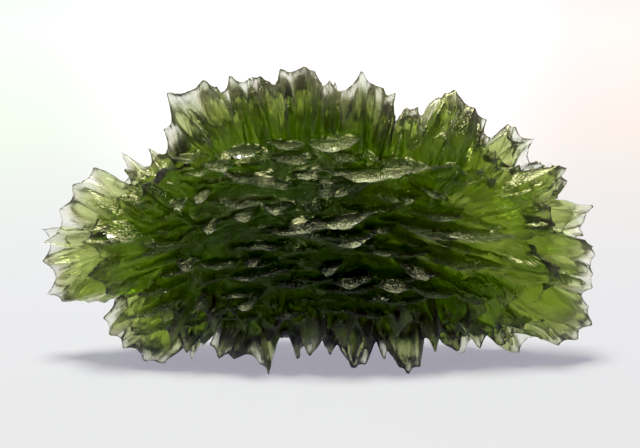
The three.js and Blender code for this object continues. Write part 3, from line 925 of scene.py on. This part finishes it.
def floor_material(look):
    """A pale matt floor that glows with painted light, more strongly further back.

    Near the stone the painted light is lilac and lifts the stone's shadow. Behind the stone is a painted
    pool of light, brightest in the middle, which goes from green on the left to pink on the right. How
    far aside a place lies in it is x / (y + FAN_POINT).
    """
    material = bpy.data.materials.new("pale_floor")
    material.use_nodes = True
    tree = material.node_tree
    place = add_node(tree, "ShaderNodeTexCoord").outputs["Object"]
    axes = add_node(tree, "ShaderNodeSeparateXYZ", {"Vector": place})
    x, y = axes.outputs["X"], axes.outputs["Y"]
    aside = calculate(tree, "DIVIDE", x, calculate(tree, "ADD", y, FAN_POINT))
    in_pool = map_range(tree, y, *POOL_Y)

    across = map_range(tree, aside, -TINTS_WIDTH, TINTS_WIDTH)
    tint = add_node(tree, "ShaderNodeValToRGB", {"Fac": across})
    left, right = tint.color_ramp.elements
    left.color = POOL_TINTS[0]
    right.color = POOL_TINTS[2]
    tint.color_ramp.elements.new(0.5).color = POOL_TINTS[1]
    # Tint of the painted light: lilac near the stone, where it colours the stone's shadow, and the pool's
    # tints further back.
    colour = add_node(tree, "ShaderNodeMix", {
        "Factor": in_pool, "A": NEAR_PAINTED_LIGHT_TINT, "B": tint.outputs["Color"]}, data_type="RGBA")

    # Strength of the painted light: it lifts the stone's shadow near the stone and pools behind it.
    glow = map_range(tree, y, *GLOW_Y, look.near_glow, look.far_glow, "SMOOTHSTEP")
    off_middle = calculate(tree, "ABSOLUTE", aside)
    pool = map_range(tree, off_middle, *POOL_WIDTH, *POOL_STRENGTH, "SMOOTHSTEP")
    pooled = add_node(tree, "ShaderNodeMix", {"Factor": in_pool, "A": 1.0, "B": pool})
    set_inputs(tree, tree.nodes["Principled BSDF"], {
        "Base Color": (*look.floor_colour, 1.0),
        "Roughness": 0.9,
        "Specular IOR Level": 0.1,
        "Emission Color": colour.outputs["Result"],
        "Emission Strength": calculate(tree, "MULTIPLY", glow, pooled.outputs["Result"]),
    })
    return material


# ------------------------------------ operators

def stone_mesh(look):
    """The stone's mesh, in metres, from its settings.

    The fins are fused by voxels, their creases filled, the surface etched and its creases smoothed
    once more. Then triangles are taken out until as few are left as asked for.
    """
    rng = np.random.default_rng(look.seed)
    table = np.random.default_rng(look.seed).random(TABLE_SIZE)
    shells = all_fins(rng, table)
    starts = np.cumsum([0] + [len(points) for points, _ in shells[:-1]])
    points = np.vstack([points for points, _ in shells])
    quads = np.vstack([quads + start for (_, quads), start in zip(shells, starts)])
    mesh = modified(mesh_of("fins", points, quads), "REMESH", mode="VOXEL", voxel_size=look.voxel)
    points, triangles, edges = arrays_of(mesh)
    bpy.data.meshes.remove(mesh)

    points = fill_creases(points, triangles, edges, look.passes)
    points = etch(points, vertex_normals(points, triangles), table)
    points = fill_creases(points, triangles, edges, LAST_PASSES)
    points[:, 2] = np.maximum(points[:, 2], 0.0)
    mesh = mesh_of("fused", points, triangles)
    share = look.triangles / len(triangles)
    if share < 1:
        mesh = modified(mesh, "DECIMATE", ratio=share)
    points, triangles, edges = arrays_of(mesh)
    bpy.data.meshes.remove(mesh)
    points, triangles = largest_part(points, triangles, edges)
    return mesh_of("etched_glass", points * MM, triangles)


def add_patterns(mesh):
    """Gives the stone's mesh the values that its glass reads.

    "rays" are the rays' coordinates, drifting by 0.06 of the rays' length, and "frost" is the wear.
    """
    points, triangles, edges = arrays_of(mesh)
    rays, length = along_rays(points / MM)
    grain = mesh.attributes.new("rays", "FLOAT_VECTOR", "POINT")
    grain.data.foreach_set("vector", (rays + 0.06 * length[:, None]).astype(np.float32).ravel())
    frost = mesh.attributes.new("frost", "FLOAT", "POINT")
    frost.data.foreach_set("value", worn(points / MM, triangles, edges).astype(np.float32))


class MOLDAVITE_OT_stone(Operator):
    """Build the stone: fuse its fins, fill the creases, etch the surface and give it its glass"""

    bl_idname = "moldavite.stone"
    bl_label = "Moldavite stone"

    def execute(self, context):
        look = context.scene.moldavite_stone
        mesh = stone_mesh(look)
        mesh.shade_smooth()
        add_patterns(mesh)
        stone = bpy.data.objects.new("etched_glass", mesh)
        context.scene.collection.objects.link(stone)
        stone.data.materials.append(glass_material(look))
        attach(stone, "root")
        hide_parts("moldavite")
        return {"FINISHED"}


def add_floor(scene, look):
    """The floor: one square that the stone stands on."""
    corners = FLOOR_HALF * np.array(((-1, -1, 0), (1, -1, 0), (1, 1, 0), (-1, 1, 0)))
    floor = bpy.data.objects.new("floor", mesh_of("floor", corners, np.array(((0, 1, 2, 3),))))
    floor.data.materials.append(floor_material(look))
    scene.collection.objects.link(floor)


def add_light(scene, look):
    """One soft lamp over the stone, and a sky that is brightest behind and above it."""
    lamp = bpy.data.lights.new("overhead", "AREA")
    lamp.shape = "ELLIPSE"
    lamp.size, lamp.size_y = LAMP_SIZE
    lamp.energy = look.lamp_power
    lamp.color = look.lamp_colour
    overhead = bpy.data.objects.new("overhead", lamp)
    overhead.location = LAMP_PLACE
    scene.collection.objects.link(overhead)

    world = bpy.data.worlds.new("studio")
    scene.world = world
    world.use_nodes = True
    tree = world.node_tree
    direction = add_node(tree, "ShaderNodeTexCoord").outputs["Generated"]
    aimed = add_node(tree, "ShaderNodeVectorMath", {0: direction, 1: SKY_AIM}, operation="DOT_PRODUCT")
    set_inputs(tree, tree.nodes["Background"], {
        "Color": SKY_COLOUR,
        "Strength": map_range(tree, aimed.outputs["Value"], *SKY_RANGE, *SKY_STRENGTH, "SMOOTHSTEP"),
    })


def add_camera(scene, look):
    """The camera, as far in front of the stone as STONE_SHARE asks, and the tone of its render."""
    camera = bpy.data.objects.new("camera", bpy.data.cameras.new("camera"))
    camera.data.lens = look.lens
    camera.data.clip_start = 0.001
    camera.data.clip_end = 20.0
    low, high = CAD_BOX
    back = Vector((0, -math.cos(look.elevation), math.sin(look.elevation)))
    distance = look.lens / camera.data.sensor_width * (high.x - low.x) / STONE_SHARE
    camera.location = AIM + back * distance
    camera.rotation_euler = (-back).to_track_quat("-Z", "Y").to_euler()
    scene.collection.objects.link(camera)
    scene.camera = camera

    scene.view_settings.view_transform = "Standard"
    scene.view_settings.use_curve_mapping = True
    tone = scene.view_settings.curve_mapping
    tone.black_level = BLACK_LEVEL
    for curve in tone.curves[:2]:
        for x, y in TONE:
            curve.points.new(x, y)
    tone.update()


class MOLDAVITE_OT_stage(Operator):
    """Set up the pale floor, the soft light and the camera"""

    bl_idname = "moldavite.stage"
    bl_label = "Floor, light and camera"

    def execute(self, context):
        scene = context.scene
        look = scene.moldavite_stage
        add_floor(scene, look)
        add_light(scene, look)
        add_camera(scene, look)
        scene.cycles.max_bounces = LIGHT_BOUNCES
        scene.cycles.transmission_bounces = LIGHT_BOUNCES
        return {"FINISHED"}


class MOLDAVITE_PT_panel(Panel):
    """Lists the stone's and the stage's settings"""

    bl_label = "Moldavite"
    bl_space_type = "VIEW_3D"
    bl_region_type = "UI"
    bl_category = "Moldavite"

    def draw(self, context):
        layout = self.layout
        for settings, operator in ((context.scene.moldavite_stone, MOLDAVITE_OT_stone),
                                   (context.scene.moldavite_stage, MOLDAVITE_OT_stage)):
            column = layout.column()
            for name in settings.__annotations__:
                column.prop(settings, name)
            column.operator(operator.bl_idname)


CLASSES = (MoldaviteStone, MoldaviteStage, MOLDAVITE_OT_stone, MOLDAVITE_OT_stage, MOLDAVITE_PT_panel)


def register():
    for cls in CLASSES:
        bpy.utils.register_class(cls)
    bpy.types.Scene.moldavite_stone = PointerProperty(type=MoldaviteStone)
    bpy.types.Scene.moldavite_stage = PointerProperty(type=MoldaviteStage)


def unregister():
    del bpy.types.Scene.moldavite_stage
    del bpy.types.Scene.moldavite_stone
    for cls in reversed(CLASSES):
        bpy.utils.unregister_class(cls)


def main():
    register()
    bpy.ops.moldavite.stage()
    bpy.ops.moldavite.stone()


if __name__ == "__main__":
    main()
